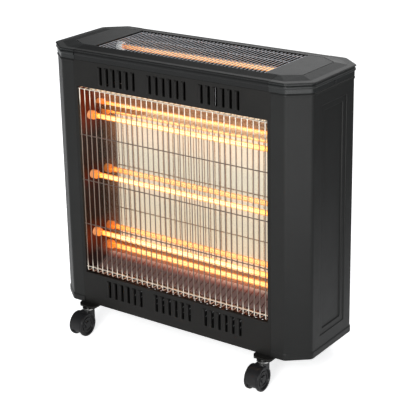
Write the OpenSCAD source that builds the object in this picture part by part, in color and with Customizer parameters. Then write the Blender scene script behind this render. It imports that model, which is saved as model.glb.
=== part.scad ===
// Free-standing quartz tube heater on four twin-wheel casters.
// X is the width, Y the depth with the front at -Y, Z is up, and the origin is on the
// floor under the middle of the footprint. All sizes are in millimetres.

/* [Cabinet] */
// Width over the side mouldings
body_w = 573; // [540:1:640]
// Depth over the front and back panels
body_d = 204; // [196:1:230]
// Height of the side mouldings
body_h = 498; // [480:1:560]
// Length of a corner chamfer along the width
corner_x = 38; // [30:1:44]
// Length of a corner chamfer along the depth
corner_y = 32; // [26:1:38]
// Radius of the mouldings' vertical edges
edge_r = 10; // [6:0.5:12]
// Wall of the plastic mouldings
wall = 2.5; // [2:0.1:3]
// Thickness of the sheet metal
sheet = 1; // [0.8:0.1:1.2]
// Width of the metal panels between the side mouldings
panel_w = 440; // [430:1:450]
// Height of the lip round the foot of a side moulding
lip_h = 13; // [8:1:18]
// How far the lip stands proud
lip_out = 1.4; // [0.5:0.1:2]
// Height of the ledge round the top of a side moulding
ledge_h = 5; // [3:0.5:8]

/* [Side recess] */
// Width of the recessed field in each side
field_w = 88; // [70:1:100]
// Height of the recessed field above the moulding's foot
field_low = 34; // [28:1:50]
// Distance of the field's upper edge from the moulding's top
field_top = 28; // [20:1:50]
// Width of the frame inside the field
field_frame = 11; // [7:1:15]
// Depth of the frame
frame_deep = 1.5; // [1:0.1:2]
// Further depth of the middle of the field
field_deep = 2; // [1:0.1:2.5]
// Radius of the field's corners
field_r = 4; // [2:0.5:6]
// How far the walls of the recess lean over their depth
field_lean = 1.2; // [0.4:0.1:2]

/* [Top] */
// Rise of the rim above the side mouldings
rim_rise = 19.5; // [17:0.5:24]
// How far the rim overhangs the side mouldings
rim_out = 3.5; // [2:0.5:5]
// Thickness of the rim
rim_t = 3; // [2.8:0.1:4.5]
// Width of the flat strip on the rim
strip_w = 13; // [10:1:20]
// Width of the bevel at the ends
bevel_x = 22.5; // [12:0.5:26]
// Width of the bevel along the front and the back
bevel_y = 19; // [10:0.5:22]
// Height of the bevel
bevel_h = 3.8; // [2.5:0.1:5]
// How much shorter the plateau's corner chamfers are along the width
crest_dx = 5; // [2:0.5:8]
// How much shorter they are along the depth
crest_dy = 11; // [6:0.5:13]
// Width of the groove round the plateau
crest_groove = 1.4; // [1:0.1:2]
// Depth of the groove round the plateau
crest_deep = 1.3; // [0.8:0.1:1.5]
// Height of the groove under the rim
groove_h = 2; // [1.5:0.1:3]
// Height of the bead under the groove
bead_h = 6; // [4:0.5:8]
// How far the bead stands out of a cap's skirt
bead_out = 2.1; // [1:0.1:2.5]
// How far a cap's skirt stands out of the side mouldings
skirt_out = 0.8; // [0.4:0.1:1.2]
// How far the rails' beads stand in front of the panels
rail_bead = 0.9; // [0.5:0.1:1.5]
// How far the rails' upper edges stand in front of the panels
rail_out = 1.5; // [0.8:0.1:2.5]
// Distance of a cap's rim from the side edge of the metal panels
cap_gap = 3; // [1:0.5:6]
// Distance of the opening under the grille from a cap's rim
vent_gap = 27; // [22:1:37]
// Depth of the flange round the opening under the grille
vent_flange = 13; // [10:0.5:16]

/* [Front opening] */
// Distance of the opening from the panel's side edges
open_in = 7; // [6:0.5:15]
// Lower edge of the opening above the cabinet's foot
open_low = 66; // [64:1:80]
// Distance of the opening's upper edge from the panel's top
open_top = 51; // [45:1:60]
// Depth of the flange round the opening
open_flange = 6; // [4:0.5:8]

/* [Pressed slots] */
// Slots in a group
slot_n = 6; // [4:1:7]
// Distance between slots
slot_pitch = 15.5; // [13:0.5:17]
// Distance between groups
group_pitch = 115; // [110:1:120]
// Height of a slot
slot_h = 35; // [28:1:38]
// Width of a slot
slot_w = 4.2; // [3:0.1:5]
// Distance of the lower slots from the panel's foot
slot_low = 23; // [18:1:26]
// Distance of the upper slots from the panel's top
slot_top = 7.5; // [6:0.5:12]
// Width of the pressed lip beside a slot
lip_w = 5.4; // [4:0.1:6]
// Height of the pressed lip
lip_rise = 2.5; // [1:0.1:2.8]

/* [Guard] */
// Diameter of the guard's wires
guard_d = 2; // [1.6:0.1:2.4]
// Distance between upright wires
guard_pitch = 12.25; // [9:0.25:12.25]
// Height of the lowest cross wire above the guard's lower edge
cross_low = 8; // [6:1:30]
// Number of cross wires
cross_n = 5; // [3:1:5]
// Length of the wires' bent ends
guard_back = 15; // [10:0.5:18]
// Length of the slanting wire at a bend, along the height and the depth
guard_bend = 2.6; // [2:0.1:4]

/* [Tubes] */
// Diameter of a quartz tube
tube_d = 10.5; // [9:0.1:12]
// Wall of a quartz tube
tube_wall = 1.1; // [0.9:0.1:1.4]
// Height of the lower tube above the opening's lower edge
lamp_low_in = 75; // [70:1:85]
// Distance of the upper tube below the opening's upper edge
lamp_high_in = 65; // [60:1:75]
// Distance of the front tubes from the front
lamp_in = 34.6; // [30:0.1:38]
// Distance of the top tube behind the middle of the cabinet
top_lamp_y = 28; // [10:1:34]
// Height of the top tube above the side mouldings' top
top_lamp_z = 0; // [-3:1:3]
// Diameter of a ceramic end where it passes its plate
ceramic_d = 17; // [15:0.5:18]
// Length of a ceramic end inside the plate
ceramic_in = 12; // [9:0.5:14]
// Diameter of a filament
filament_d = 2.4; // [2:0.1:3]
// Number of supports along a filament
support_n = 7; // [5:1:9]

/* [Reflector] */
// Distance of the reflector's folds behind the front
mirror_in = 52.6; // [48:0.1:56]
// How far the ridges between the tubes stand forward
ridge_out = 14; // [8:0.5:16]
// Thickness of the reflector sheet
mirror_t = 0.8; // [0.6:0.1:1]

/* [Top grille] */
// Diameter of the grille's wires
grille_d = 1.6; // [1.2:0.1:2]
// Distance between these wires
grille_pitch = 8.4; // [6:0.1:8.4]
// Number of wires along the width
grille_long = 4; // [2:1:6]

/* [Foot bars] */
// Distance of the foot bars' middle from the metal panels' side edges
foot_in = 13; // [8:1:30]
// Width of a foot bar
foot_w = 42; // [36:1:46]
// Thickness of a foot bar
foot_t = 7; // [6:0.5:9]
// How far a foot bar sticks out in front of the cabinet
foot_out = 16; // [14:0.5:22]
// Distance of a caster's stem from the foot bar's end
stem_in = 9.6; // [8:0.1:12]

/* [Casters] */
// Diameter of a wheel
wheel_d = 47; // [44:0.5:50]
// Width over both wheels of a caster
caster_w = 30; // [28:0.5:36]
// Width of the exposed tread
tread_w = 5; // [4:0.5:5.5]
// Width of the hood's middle web
web_w = 10; // [9:0.2:11]
// Width of the hood's neck round the pin
neck_w = 17; // [14:0.5:18]
// Thickness of the hood's fender
fender_t = 2.2; // [1.6:0.1:3]
// Depth of the dish in a wheel's face
dish_deep = 2.7; // [2:0.1:3]
// Distance of the axle from the stem
trail = 21; // [19:0.5:23]
// Diameter of an axle
axle_d = 6; // [5:0.5:7]
// Diameter of the pin on which a hood swivels
pin_d = 7; // [6:0.1:7.4]
// Diameter of the collar under the foot bar
collar_d = 24; // [20:1:28]
// Thickness of the collar
collar_t = 2.6; // [2:0.1:4]
// Angle at which the casters stand
caster_turn = 2; // [0:1:10]

/* [Switches] */
// Distance of the upper switch below the top of the side moulding
switch_in = 88; // [70:1:120]
// Distance between the two switches
switch_gap = 42; // [36:1:60]
// Tilt of a rocker to either side
rocker_tilt = 10; // [6:1:12]
// Width of a switch's bezel
bezel_w = 23; // [21:0.5:26]
// Height of a switch's bezel
bezel_h = 32; // [30:0.5:36]
// Depth of a switch's body
switch_deep = 24; // [18:1:30]

/* [Fits] */
// Radial clearance of a running fit
run_fit = 0.05; // [0.02:0.01:0.08]
// Gap between pieces that only lie against each other
seat = 0.2; // [0.1:0.05:0.3]
// Gap between pieces that move past each other
clear = 0.3; // [0.25:0.05:0.4]

/* [Hidden] */
$fn = 48;
half_w = body_w / 2;
half_d = body_d / 2;
wheel_r = wheel_d / 2;
hood_r = wheel_r + 0.1;
hood_top = wheel_r + hood_r;
foot_z = hood_top + clear + collar_t;
base_z = foot_z + foot_t;
top_z = base_z + body_h;
rim_z = top_z + rim_rise;
plate_z = rim_z + bevel_h;
strip_in = strip_w - rim_out;
vent_y = half_d - strip_in - bevel_y - 1.3;
rail_in = vent_y + 1.6;
skirt_in = 2.2;
skirt_z = top_z + seat;
bead_z = rim_z - rim_t - groove_h - bead_h;
cap_in = panel_w / 2 - cap_gap;
vent_x = cap_in - vent_gap;
open_x = panel_w / 2 - open_in;
open_z0 = base_z + open_low;
open_z1 = top_z - open_top;
flange_y = -half_d + open_flange;
wall_x = open_x + sheet + seat;
lamp_y = -half_d + lamp_in;
lamp_low = open_z0 + lamp_low_in;
lamp_high = open_z1 - lamp_high_in;
lamp_heights = [lamp_high, (lamp_low + lamp_high) / 2, lamp_low];
mirror_y = -half_d + mirror_in;
guard_y = -half_d + guard_d / 2;
guard_z0 = open_z0 + 4;
guard_z1 = open_z1 - 3.2;
foot_x = panel_w / 2 - foot_in;
guard_side = floor((open_x - guard_d) / guard_pitch);
grille_side = floor((vent_x - grille_d) / grille_pitch);
grille_z = plate_z - 2.3;
stem_y = half_d + foot_out - stem_in;
switch_x = -half_w + frame_deep + field_deep;
bezel_t = 2;
cutout_z = (lamp_heights[0] + lamp_heights[1]) / 2;
pivot_in = 4;
pivot_d = 2.4;
well_w = 14.6;
well_h = 21.2;
shank_d = 10;
shank_skin = 1.5;
lamp_hole = ceramic_d / 2 + clear;
gland_x = -170;
gland_z = base_z + 38;
gland_r = 7.5;
cord_r = 4;
screw_x = panel_w / 2 - 10;
screw_r = 1.5;
cap_screw_r = 1.2;
bolt_y = 50;
bolt_r = 3;
bolt_head = 10;
nut_t = 4.5;
fold_h = 12;
wall_fold = 10;
loom_y = half_d - 42;
block_x = -half_w + 14.5;
socket_deep = 20;
eps = 0.05;

// ---------------------------------------------------------------- outlines and helpers

function unit(v) = v / norm(v);

// Points of an arc of radius r that rounds the corner b between a and c
function rounded_corner(a, b, c, r, n) =
    let (
        u = unit(a - b),
        v = unit(c - b),
        half = acos(u * v) / 2,
        m = b + unit(u + v) * r / sin(half),
        s = b + u * r / tan(half) - m,
        e = b + v * r / tan(half) - m,
        from = atan2(s.y, s.x),
        turn = atan2(s.x * e.y - s.y * e.x, s * e)
    )
    [for (i = [0:n]) m + r * [cos(from + turn * i / n), sin(from + turn * i / n)]];

// A polygon with every corner rounded
function rounded(points, r, n = 4) =
    let (k = len(points))
    [for (i = [0:k - 1])
        each rounded_corner(points[(i + k - 1) % k], points[i], points[(i + 1) % k], r, n)];

// A rectangle with chamfered corners, given by its half sizes
function octagon(hx, hy, cx, cy) = [
    [-hx + cx, -hy], [hx - cx, -hy], [hx, -hy + cy], [hx, hy - cy],
    [hx - cx, hy], [-hx + cx, hy], [-hx, hy - cy], [-hx, -hy + cy]
];

// The cabinet's plan, grown by g on every side
function plan(g) =
    let (slant = norm([corner_x, corner_y]))
    octagon(half_w + g, half_d + g,
            corner_x + g * (1 - (slant - corner_x) / corner_y),
            corner_y + g * (1 - (slant - corner_y) / corner_x));

function round_plan(g) = rounded(plan(g), edge_r + g);

// Solid between two outlines with the same number of points
module loft(low, high, z0, z1) {
    n = len(low);
    polyhedron(
        points = concat([for (p = low) [p.x, p.y, z0]], [for (p = high) [p.x, p.y, z1]]),
        faces = concat(
            [[for (i = [0:n - 1]) i]],
            [[for (i = [0:n - 1]) 2 * n - 1 - i]],
            [for (i = [0:n - 1]) [i, n + i, n + (i + 1) % n]],
            [for (i = [0:n - 1]) [i, n + (i + 1) % n, (i + 1) % n]]
        )
    );
}

// A closed band round the cabinet: its profile's points are [distance out of the plan, height],
// going up on the outer side
module moulded_band(profile) {
    loops = [for (p = profile) [for (q = round_plan(p.x)) [q.x, q.y, p.y]]];
    n = len(loops[0]);
    k = len(profile);
    polyhedron(
        points = [for (loop = loops) each loop],
        faces = [for (j = [0:k - 1], i = [0:n - 1]) [
            j * n + i, ((j + 1) % k) * n + i,
            ((j + 1) % k) * n + (i + 1) % n, j * n + (i + 1) % n
        ]]
    );
}

// Half ellipse from [from, z] to [from, z + high], bulging by out
function bead(from, z, out, high, n = 5) = [
    for (i = [0:n])
        let (a = -90 + 180 * i / n)
        [from + out * cos(a), z + high / 2 * (1 + sin(a))]
];

// A rectangle of half sizes hx and hy about [cx, cy]
function rectangle(hx, hy, cx, cy) =
    [[cx - hx, cy - hy], [cx + hx, cy - hy], [cx + hx, cy + hy], [cx - hx, cy + hy]];

// A folded sheet along the width: points are [y, z], and shift leads to its other face
module folded_sheet(points, shift, half_len) {
    n = len(points);
    back = [for (i = [n - 1:-1:0]) points[i] + shift];
    translate([-half_len, 0, 0]) rotate([90, 0, 90])
        linear_extrude(2 * half_len) polygon(concat(points, back));
}

// A box given by its two corners
module block(low, high) {
    translate(low) cube(high - low);
}

module rod_x(d, x0, x1, y, z, sides = $fn) {
    translate([x0, y, z]) rotate([0, 90, 0]) cylinder(d = d, h = x1 - x0, $fn = sides);
}

module rod_y(d, x, y0, y1, z, sides = $fn) {
    translate([x, y1, z]) rotate([90, 0, 0]) cylinder(d = d, h = y1 - y0, $fn = sides);
}

module rod_z(d, x, y, z0, z1, sides = $fn) {
    translate([x, y, z0]) cylinder(d = d, h = z1 - z0, $fn = sides);
}

module ring(outer, inner, z0, z1) {
    translate([0, 0, z0]) linear_extrude(z1 - z0) difference() {
        polygon(outer);
        polygon(inner);
    }
}

// Keeps what lies to the right of x
module right_of(x) {
    intersection() {
        children();
        block([x, -body_d, 0], [body_w, body_d, 2 * top_z]);
    }
}

// ---------------------------------------------------------------- cabinet

module side_moulding() {
    tongue_y = half_d - sheet - seat;
    field_z0 = base_z + field_low;
    field_z1 = top_z - field_top;
    skin = half_w - wall + 0.1;
    difference() {
        union() {
            right_of(panel_w / 2) {
                ring(round_plan(0), round_plan(-wall), base_z, top_z);
                moulded_band([[-1, base_z], [lip_out, base_z], [lip_out, base_z + lip_h - 2.5],
                              [0, base_z + lip_h], [-1, base_z + lip_h]]);
                moulded_band([[-1, top_z - ledge_h], [lip_out, top_z - ledge_h],
                              [lip_out, top_z - ledge_h / 2], [0, top_z], [-1, top_z]]);
                translate([0, 0, base_z]) linear_extrude(wall) polygon(round_plan(-1));
            }
            block([half_w - wall - frame_deep, -field_w / 2 - wall, field_z0 - wall],
                  [skin, field_w / 2 + wall, field_z1 + wall]);
            block([half_w - wall - frame_deep - field_deep,
                   -field_w / 2 + field_frame - wall, field_z0 + field_frame - wall],
                  [skin, field_w / 2 - field_frame + wall, field_z1 - field_frame + wall]);
            block([screw_x - 6, tongue_y - 1.3, base_z + lip_h],
                  [panel_w / 2 + 1, tongue_y, top_z - lip_h]);
            block([panel_w / 2 - 4, -tongue_y, base_z + lip_h],
                  [panel_w / 2 + 1, -tongue_y + 1.3, top_z - lip_h]);
        }
        field_step(0, half_w + eps, frame_deep + eps);
        field_step(field_frame, half_w - frame_deep + eps, field_deep + eps);
        for (z = back_screw_heights())
            rod_y(2 * screw_r, screw_x, half_d - 8, half_d, z);
    }
}

// One step of the recess: a pocket with leaning walls, inset from the field's outline
module field_step(inset, x, deep) {
    hx = field_w / 2 - inset;
    hz = (body_h - field_low - field_top) / 2 - inset;
    middle_z = base_z + (body_h + field_low - field_top) / 2;
    rotate([90, 0, 90]) loft(
        rounded(rectangle(hx - field_lean, hz - field_lean, 0, middle_z), field_r - field_lean),
        rounded(rectangle(hx, hz, 0, middle_z), field_r), x - deep, x);
}

function back_screw_heights() = [for (i = [0:3]) base_z + 30 + i * (body_h - 60) / 3];

module right_side_moulding() color([0.2, 0.2, 0.2]) side_moulding();

module left_side_moulding() color([0.2, 0.2, 0.2]) difference() {
    mirror([1, 0, 0]) side_moulding();
    for (z = switch_heights())
        block([-half_w, -bezel_w / 2 + 2 - seat, z - bezel_h / 2 + 2 - seat],
              [switch_x + 10, bezel_w / 2 - 2 + seat, z + bezel_h / 2 - 2 + seat]);
}

module end_cap() {
    foot = octagon(half_w - strip_in, half_d - strip_in, corner_x - 3, corner_y - 3);
    under = octagon(half_w - strip_in - 3, half_d - strip_in - 3, corner_x - 4, corner_y - 4);
    plateau = crest(0);
    intersection() {
        difference() {
            loft(foot, plateau, rim_z - eps, plate_z);
            loft(foot, plateau, rim_z - wall - eps, plate_z - wall);
            ring(plateau, crest(crest_groove), plate_z - crest_deep, plate_z + 1);
        }
        union() {
            block([cap_in, -body_d, 0], [body_w, body_d, 2 * top_z]);
            block([vent_x, -rail_in, 0], [cap_in + 1, rail_in, 2 * top_z]);
        }
    }
    right_of(cap_in) {
        ring(round_plan(0), under, rim_z - rim_t, rim_z);
        difference() {
            moulded_band(concat(
                [[skirt_out - 0.6, skirt_z], [skirt_out, skirt_z + 0.6]],
                bead(skirt_out, bead_z, bead_out, bead_h),
                bead(skirt_out, rim_z - rim_t, rim_out - skirt_out, rim_t),
                [[-skirt_in, rim_z], [-skirt_in, skirt_z]]
            ));
            rod_x(2 * cap_screw_r, half_w - 4, half_w + 4, 0, cap_screw_z(), 24);
        }
    }
}

// The plateau's outline, inset by g
function crest(g) = octagon(
    half_w - strip_in - bevel_x - g, half_d - strip_in - bevel_y - g,
    corner_x - crest_dx - g * 0.6, corner_y - crest_dy - g * 0.5
);

function cap_screw_z() = (skirt_z + bead_z) / 2 + 0.6;

module right_end_cap() color([0.3, 0.32, 0.32]) end_cap();
module left_end_cap() color([0.3, 0.32, 0.32]) mirror([1, 0, 0]) end_cap();

// The front rail: beaded face, flat strip, bevel and the flange down to the grille
module top_rail() {
    strip_y = half_d - strip_in;
    low_z = top_z + 2 * seat;
    t = 1.6;
    x = cap_in - seat;
    face = concat([[0, low_z]], bead(0, bead_z, rail_bead, bead_h),
                  bead(0, rim_z - rim_t, rail_out, rim_t));
    translate([-x, 0, 0]) rotate([90, 0, 90]) linear_extrude(2 * x) polygon(concat(
        [for (p = face) [-half_d - p.x, p.y]],
        [[-strip_y, rim_z], [-rail_in - seat, plate_z], [-rail_in - seat, plate_z - t],
         [-strip_y, rim_z - t], [-half_d + t, rim_z - t], [-half_d + t, low_z]]
    ));
    block([-vent_x + seat, -rail_in - seat - eps, plate_z - vent_flange],
          [vent_x - seat, -vent_y - seat, plate_z]);
}

module front_top_rail() color([0.2, 0.2, 0.2]) top_rail();
module rear_top_rail() color([0.2, 0.2, 0.2]) mirror([0, 1, 0]) top_rail();

function slot_places() = [
    for (g = [-1:1], i = [0:slot_n - 1]) g * group_pitch + (i - (slot_n - 1) / 2) * slot_pitch
];

module slot_cut(x, z) {
    block([x - slot_w / 2, -half_d - 3, z + slot_w / 2],
          [x + slot_w / 2, -half_d + sheet + 1, z + slot_h - slot_w / 2]);
    for (end_z = [z + slot_w / 2, z + slot_h - slot_w / 2])
        rod_y(slot_w, x, -half_d - 3, -half_d + sheet + 1, end_z, 24);
}

// The lip pressed out of the sheet on the left of a slot
module slot_lip(x, z) {
    root = 0.4;
    end_h = 5;
    quarter = [for (i = [0:4]) 90 * i / 4];
    back = [for (i = [4:-1:0]) 90 * i / 4];
    intersection() {
        translate([x - slot_w / 2, -half_d, z]) linear_extrude(slot_h) polygon(concat(
            [[-lip_w, root]], [for (a = quarter) [-lip_w * cos(a), -lip_rise * sin(a)]],
            [[0, root]]
        ));
        translate([x - slot_w / 2 - lip_w, -half_d, z]) rotate([90, 0, 90])
            linear_extrude(lip_w) polygon(concat(
                [[root, 0]], [for (a = quarter) [-lip_rise * sin(a), end_h * (1 - cos(a))]],
                [for (a = back) [-lip_rise * sin(a), slot_h - end_h * (1 - cos(a))]],
                [[root, slot_h]]
            ));
    }
}

module front_panel() color([0.17, 0.17, 0.17]) {
    rows = [base_z + slot_low, top_z - slot_top - slot_h];
    difference() {
        union() {
            block([-panel_w / 2 + seat, -half_d, base_z + seat],
                  [panel_w / 2 - seat, -half_d + sheet, top_z]);
            block([-panel_w / 2 + 6, -half_d, top_z - sheet],
                  [panel_w / 2 - 6, -half_d + 9, top_z]);
            block([-open_x - sheet, -half_d, open_z0 - sheet],
                  [open_x + sheet, flange_y, open_z1 + sheet]);
            for (z = rows, x = slot_places()) slot_lip(x, z);
        }
        block([-open_x, -half_d - 5, open_z0], [open_x, 0, open_z1]);
        for (z = rows, x = slot_places()) slot_cut(x, z);
    }
}

module back_panel() color([0.17, 0.17, 0.17]) {
    difference() {
        block([-panel_w / 2 + seat, half_d - sheet, base_z + seat],
              [panel_w / 2 - seat, half_d, top_z]);
        for (z = [base_z + 75, top_z - 130], x = slot_places()) {
            block([x - 2, half_d - 5, z], [x + 2, half_d + 5, z + 55]);
            for (end_z = [z, z + 55]) rod_y(4, x, half_d - 5, half_d + 5, end_z, 24);
        }
        for (side = [-1, 1], z = back_screw_heights())
            rod_y(2 * screw_r + 0.4, side * screw_x, half_d - 5, half_d + 5, z, 24);
        rod_y(2 * gland_r, gland_x, half_d - 5, half_d + 5, gland_z);
    }
}

module base_panel() color([0.17, 0.17, 0.17]) {
    edge_y = half_d - sheet;
    difference() {
        union() {
            block([-panel_w / 2 + seat, -edge_y, base_z],
                  [panel_w / 2 - seat, edge_y, base_z + sheet]);
            for (side = [-1, 1])
                block([-panel_w / 2 + fold_h, side > 0 ? edge_y - sheet : -edge_y, base_z],
                      [panel_w / 2 - fold_h, side > 0 ? edge_y : -edge_y + sheet, base_z + fold_h]);
        }
        for (x = slot_places()) block([x - 2, -40, base_z - 5], [x + 2, 40, base_z + 5]);
        for (side = [-1, 1], end = [-1, 1])
            rod_z(2 * bolt_r + 0.4, side * foot_x, end * bolt_y, base_z - 5, base_z + 5, 24);
    }
}

// ---------------------------------------------------------------- guard and grille

// Round wires are eight-sided, and cross wires are sunk into the uprights at their welds
module front_guard() color([0.75, 0.72, 0.68]) {
    weld = guard_d * 0.88;
    half_len = open_x - clear;
    back_y = guard_y + guard_back;
    b = guard_bend;
    over = guard_d * 0.2;
    cross_pitch = (guard_z1 - weld - guard_z0 - cross_low) / (cross_n - 1);
    for (i = [-guard_side:guard_side]) {
        x = i * guard_pitch;
        rod_z(guard_d, x, guard_y, guard_z0 + b - over, guard_z1 - b + over, 8);
        for (end = [0, 1]) {
            z = end > 0 ? guard_z1 : guard_z0;
            rod_y(guard_d, x, guard_y + b - over, back_y + guard_d / 2, z, 8);
            translate([x, guard_y + b / 2, z + (end > 0 ? -b / 2 : b / 2)])
                rotate([end > 0 ? -45 : 45, 0, 0])
                    cylinder(d = guard_d, h = b * sqrt(2) + 2 * over, center = true, $fn = 8);
        }
    }
    for (i = [0:cross_n - 1])
        rod_x(guard_d, -half_len, half_len, guard_y + weld,
              guard_z1 - weld - i * cross_pitch, 8);
    for (z = [guard_z0 + weld, guard_z1 - weld])
        rod_x(guard_d, -half_len, half_len, back_y, z, 8);
}

module top_grille() color([0.65, 0.63, 0.6]) {
    half_len = vent_x - seat;
    half_y = vent_y - seat / 2;
    for (i = [-grille_side:grille_side])
        rod_y(grille_d, i * grille_pitch, -half_y, half_y, grille_z, 8);
    for (i = [0:grille_long - 1])
        rod_x(grille_d, -half_len, half_len,
              (i - (grille_long - 1) / 2) * 2 * (vent_y - 6) / (grille_long - 1),
              grille_z - grille_d * 0.88, 8);
}

// ---------------------------------------------------------------- heating chamber

module reflector() color([0.85, 0.85, 0.83]) {
    valleys = [lamp_heights[2] + 15, lamp_heights[1] + 5, lamp_heights[0] + 1];
    ridge = function(i) [mirror_y - ridge_out, (valleys[i] + valleys[i + 1]) / 2];
    valley = function(i) [mirror_y, valleys[i]];
    lip_y = flange_y + seat;
    folded_sheet([
        [lip_y, open_z0 + 0.8], [lip_y + 12, open_z0 + 3], [mirror_y - 1.6, open_z0 + 54],
        valley(0), ridge(0), valley(1), ridge(1), valley(2),
        [mirror_y - 1.6, open_z1 - 50], [lip_y + 12, open_z1 - 2], [lip_y, open_z1 - 0.6]
    ], [mirror_t, 0], wall_x - clear);
}

module chamber_wall() {
    rear_y = mirror_y + 6;
    difference() {
        union() {
            block([wall_x, -half_d + sheet + seat, open_z0 - 6],
                  [wall_x + sheet, rear_y, open_z1 + 6]);
            block([wall_x, rear_y - sheet, open_z0 - 6],
                  [wall_x + wall_fold, rear_y, open_z1 + 6]);
        }
        for (z = lamp_heights)
            rod_x(2 * lamp_hole, wall_x - 5, wall_x + 5, lamp_y, z);
    }
}

module right_chamber_wall() color([0.5, 0.5, 0.5]) chamber_wall();
module left_chamber_wall() color([0.5, 0.5, 0.5]) mirror([1, 0, 0]) chamber_wall();

module top_reflector() color([0.8, 0.8, 0.78]) {
    y = vent_y - seat;
    z = top_z + top_lamp_z;
    edge_z = plate_z - 8;
    trough = [[-y, edge_z], [top_lamp_y - 48, z - 18], [top_lamp_y, z - 24],
              [top_lamp_y + 28, z - 14], [y, edge_z]];
    end_plate = concat([for (p = trough) p - [0, mirror_t + 0.6]], [[y, edge_z + 2], [-y, edge_z + 2]]);
    folded_sheet(trough, [0, -1.6 * mirror_t], wall_x + 0.2);
    for (side = [0, 1]) mirror([side, 0, 0]) difference() {
        translate([wall_x, 0, 0]) rotate([90, 0, 90]) linear_extrude(sheet) polygon(end_plate);
        rod_x(2 * lamp_hole, wall_x - 5, wall_x + 5, top_lamp_y, z);
    }
}

// Places a lamp's piece on the lamp's axis
module at_lamp(y, z) {
    translate([0, y, z]) rotate([0, 90, 0]) children();
}

module quartz_tube() {
    half_len = wall_x - ceramic_in + 4;
    translate([0, 0, -half_len]) difference() {
        cylinder(d = tube_d, h = 2 * half_len);
        translate([0, 0, -1]) cylinder(d = tube_d - 2 * tube_wall, h = 2 * half_len + 2);
    }
}

module filament() {
    half_len = wall_x - ceramic_in + 4 - seat;
    step = 2 * (half_len - 6) / (support_n - 1);
    translate([0, 0, -half_len]) cylinder(d = filament_d, h = 2 * half_len, $fn = 24);
    for (i = [0:support_n - 1])
        translate([0, 0, -half_len + 6 + i * step - 0.4])
            cylinder(d = tube_d - 2 * tube_wall - seat, h = 0.8, $fn = 24);
}

// Ceramic ends on both sides: nose with the tube's socket, flange outside the plate, tail, pin
module ceramics() {
    nose = wall_x - ceramic_in;
    out = wall_x + sheet;
    for (side = [0, 1]) mirror([0, 0, side]) difference() {
        rotate_extrude() polygon([
            [0, nose], [ceramic_d / 2 - 1, nose], [ceramic_d / 2, nose + 1],
            [ceramic_d / 2, out], [ceramic_d / 2 + 2.5, out], [ceramic_d / 2 + 2.5, out + 3],
            [ceramic_d / 2 - 3, out + 3], [ceramic_d / 2 - 3, out + 12], [1.2, out + 12],
            [1.2, out + 18], [0, out + 18]
        ]);
        translate([0, 0, nose - 1]) cylinder(d = tube_d + 0.1, h = 5);
    }
}

module front_tube(i) color([1, 0.75, 0.4, 0.6])
    at_lamp(lamp_y, lamp_heights[i]) quartz_tube();
module front_filament(i) color([1, 0.45, 0.1])
    at_lamp(lamp_y, lamp_heights[i]) filament();
module front_ceramics(i) color([0.95, 0.93, 0.88])
    at_lamp(lamp_y, lamp_heights[i]) ceramics();

module top_tube() color([1, 0.75, 0.4, 0.6])
    at_lamp(top_lamp_y, top_z + top_lamp_z) quartz_tube();
module top_filament() color([1, 0.45, 0.1])
    at_lamp(top_lamp_y, top_z + top_lamp_z) filament();
module top_ceramics() color([0.95, 0.93, 0.88])
    at_lamp(top_lamp_y, top_z + top_lamp_z) ceramics();

// ---------------------------------------------------------------- foot bars and casters

// Section of a bar: flat on top, with quarter ellipses along its lower edges
function bar_section(half, t) =
    let (rx = 1.5 * t, rz = t - 1.5, n = 5)
    concat([[-half, t]],
           [for (i = [0:n]) [-half + rx * (1 - cos(90 * i / n)), rz * (1 - sin(90 * i / n))]],
           [for (i = [n:-1:0]) [half - rx * (1 - cos(90 * i / n)), rz * (1 - sin(90 * i / n))]],
           [[half, t]]);

// A bar with round ends and a rounded underside, cut from three profiles
module foot_bar(x) {
    half_len = half_d + foot_out;
    r = foot_w / 3;
    difference() {
        intersection() {
            translate([x, 0, foot_z]) linear_extrude(foot_t) polygon(rounded([
                [-foot_w / 2, -half_len], [foot_w / 2, -half_len],
                [foot_w / 2, half_len], [-foot_w / 2, half_len]
            ], r, 8));
            translate([x, half_len, foot_z]) rotate([90, 0, 0])
                linear_extrude(2 * half_len) polygon(bar_section(foot_w / 2, foot_t));
            translate([x - foot_w / 2, 0, foot_z]) rotate([90, 0, 90])
                linear_extrude(foot_w) polygon(bar_section(half_len, foot_t));
        }
        for (end = [-1, 1]) {
            rod_z(shank_d + 0.1, x, end * stem_y, foot_z - 5, base_z - shank_skin);
            rod_z(2 * bolt_r + 0.4, x, end * bolt_y, foot_z - 5, base_z + 5, 24);
        }
    }
}

module left_foot_bar() color([0.15, 0.15, 0.15]) foot_bar(-foot_x);
module right_foot_bar() color([0.15, 0.15, 0.15]) foot_bar(foot_x);

module foot_bolts() color([0.6, 0.6, 0.6]) {
    for (side = [-1, 1], end = [-1, 1]) {
        rod_z(bolt_head, side * foot_x, end * bolt_y, foot_z - 3.5, foot_z, 6);
        rod_z(2 * bolt_r, side * foot_x, end * bolt_y, foot_z - 1, base_z + sheet + nut_t + 1.5, 24);
        rod_z(bolt_head, side * foot_x, end * bolt_y, base_z + sheet, base_z + sheet + nut_t, 6);
    }
}

// Places a caster's piece: x and y are -1 or 1, and the caster trails away from the cabinet
module at_caster(x, y) {
    translate([x * foot_x, y * stem_y, 0])
        rotate([0, 0, (y < 0 ? 180 : 0) + caster_turn]) children();
}

// Collar under the foot bar, screwed shank above it and swivel pin below
module stem() {
    rod_z(collar_d, 0, 0, foot_z - collar_t, foot_z);
    rod_z(shank_d, 0, 0, foot_z - 1, base_z - shank_skin - 0.5);
    rod_z(pin_d, 0, 0, hood_top - socket_deep, foot_z - 1);
}

// Profile across the axle, extruded to a width: the stem is at 0 and the axle at trail
module hood_slice(width) {
    translate([width / 2, 0, 0]) rotate([90, 0, 90]) translate([0, 0, -width])
        linear_extrude(width) children();
}

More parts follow.
